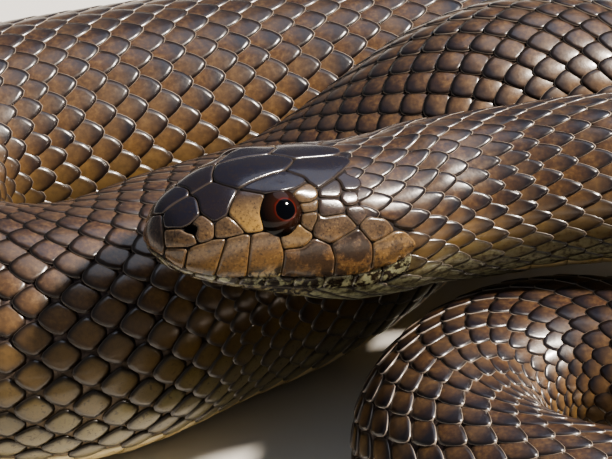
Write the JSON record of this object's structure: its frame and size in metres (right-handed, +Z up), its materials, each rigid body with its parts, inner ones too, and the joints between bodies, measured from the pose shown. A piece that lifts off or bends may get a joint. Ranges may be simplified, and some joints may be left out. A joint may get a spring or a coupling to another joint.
{
  "type": "coiled mole snake",
  "caption": "Life-size adult mole snake lying in a low pile of coils, small pointed head raised over its own body, still museum-style model",
  "frame": {"origin": "middle of the pile of coils in plan, on the ground under the belly", "axes": "+Z is up from the ground; -X is the way the head points, give or take 30 degrees; +X is the round end of the pile; +Y is the side that lies away from the left cheek"},
  "size_m": [0.2661, 0.1638, 0.0442],
  "materials": {
    "scaly_skin": "glossy",
    "jaw_skin": "satin",
    "eye_dark": "gloss"
  },
  "bodies": {
    "root": {"head": "scaly_skin", "lower_jaw": "jaw_skin", "eye_left": "eye_dark", "eye_right": "eye_dark", "neck_1": "scaly_skin", "neck_2": "scaly_skin", "trunk_01": "scaly_skin", "trunk_02": "scaly_skin", "trunk_03": "scaly_skin", "trunk_04": "scaly_skin", "trunk_05": "scaly_skin", "trunk_06": "scaly_skin", "trunk_07": "scaly_skin", "trunk_08": "scaly_skin", "trunk_09": "scaly_skin", "trunk_10": "scaly_skin", "trunk_11": "scaly_skin", "trunk_12": "scaly_skin", "trunk_13": "scaly_skin", "trunk_14": "scaly_skin", "trunk_15": "scaly_skin", "trunk_16": "scaly_skin", "trunk_17": "scaly_skin", "trunk_18": "scaly_skin", "tail_base": "scaly_skin", "tail_tip": "scaly_skin"}
  },
  "joints": []
}
